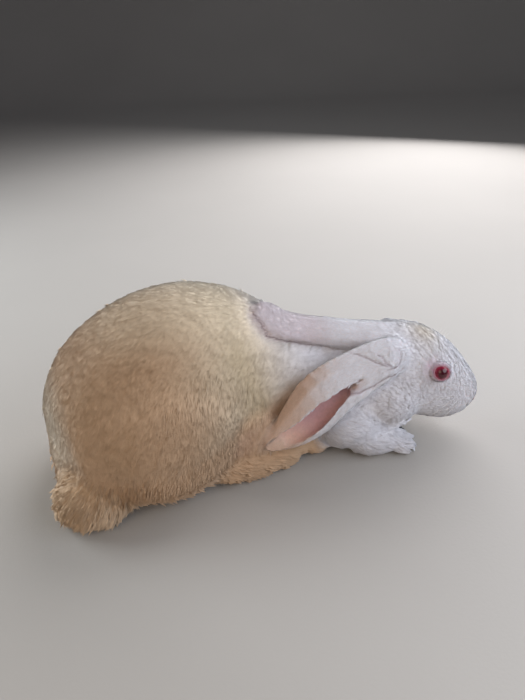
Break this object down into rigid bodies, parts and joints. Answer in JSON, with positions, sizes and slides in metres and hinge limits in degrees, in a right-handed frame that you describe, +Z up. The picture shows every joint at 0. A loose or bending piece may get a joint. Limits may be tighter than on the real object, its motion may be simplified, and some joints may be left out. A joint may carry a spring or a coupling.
{
  "type": "lop rabbit",
  "caption": "Crouching white lop-eared rabbit at life size, head turned and lowered, ears laid back; a still animal model that rests on the floor.",
  "frame": {"origin": "on the floor under the middle of the whole animal's box", "axes": "+X the way the rabbit faces, +Y its left side, +Z up; the rump and head both turn away from +X, as the spine bends to the right"},
  "size_m": [0.4478, 0.2106, 0.1862],
  "materials": {
    "coat": "soft short fur, cream white",
    "ear": "thin white fur over pink skin",
    "eye": "wet gloss, red"
  },
  "bodies": {
    "root": {"trunk": "coat", "neck": "coat", "head": "coat", "tail": "coat", "foreleg_left": "coat", "foreleg_right": "coat", "hindleg_left": "coat", "hindleg_right": "coat", "ear_left": "ear", "ear_right": "ear", "eye_left": "eye", "eye_right": "eye"}
  },
  "joints": []
}
